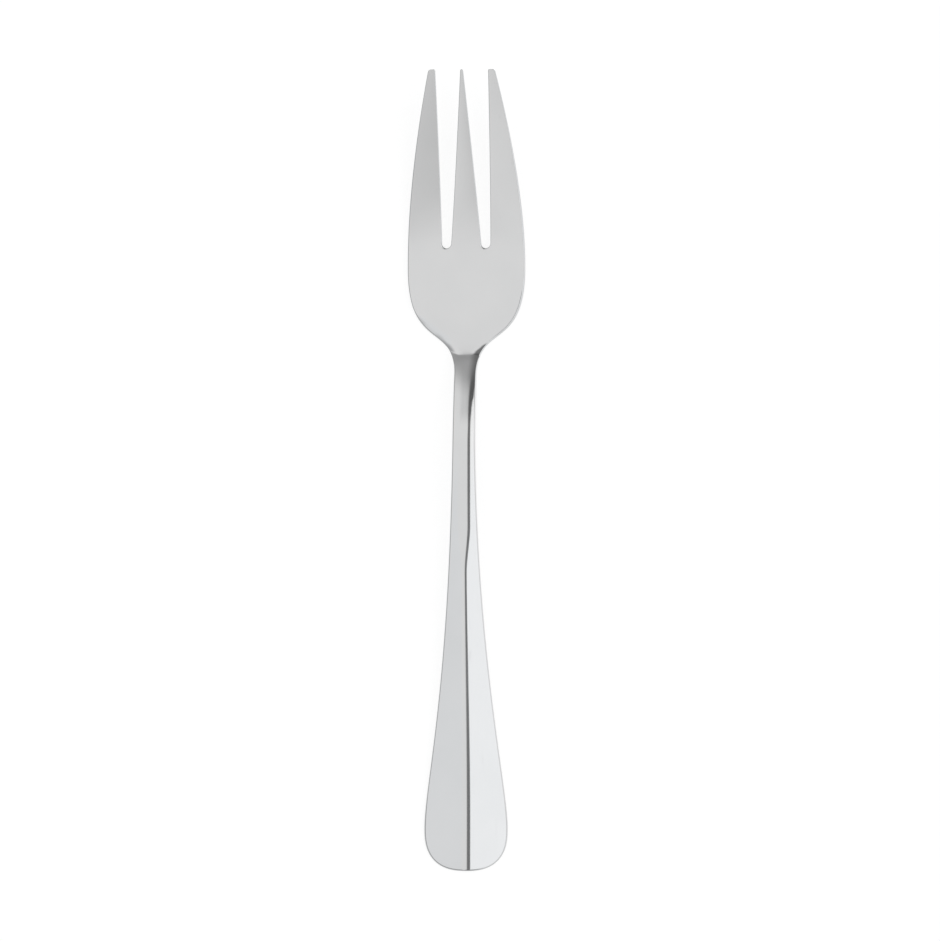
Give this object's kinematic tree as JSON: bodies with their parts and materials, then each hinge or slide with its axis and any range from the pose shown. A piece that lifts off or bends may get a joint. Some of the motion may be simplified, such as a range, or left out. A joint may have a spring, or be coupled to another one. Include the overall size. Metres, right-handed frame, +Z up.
{
  "type": "serving fork",
  "caption": "One-piece polished steel serving fork with tapered tines, a flat round-shouldered head, a narrow neck and a broad ridged handle, for lifting and serving food.",
  "frame": {"origin": "centre of the bounding box in X and Y, on the table that the fork lies on", "axes": "+Y from the handle end to the tine tips, +X to the right, +Z up, out of the front face"},
  "size_m": [0.034, 0.23, 0.0158],
  "materials": {
    "steel": "polished stainless steel with fine polishing lines"
  },
  "bodies": {
    "root": {"serving_fork": "steel"}
  },
  "joints": []
}
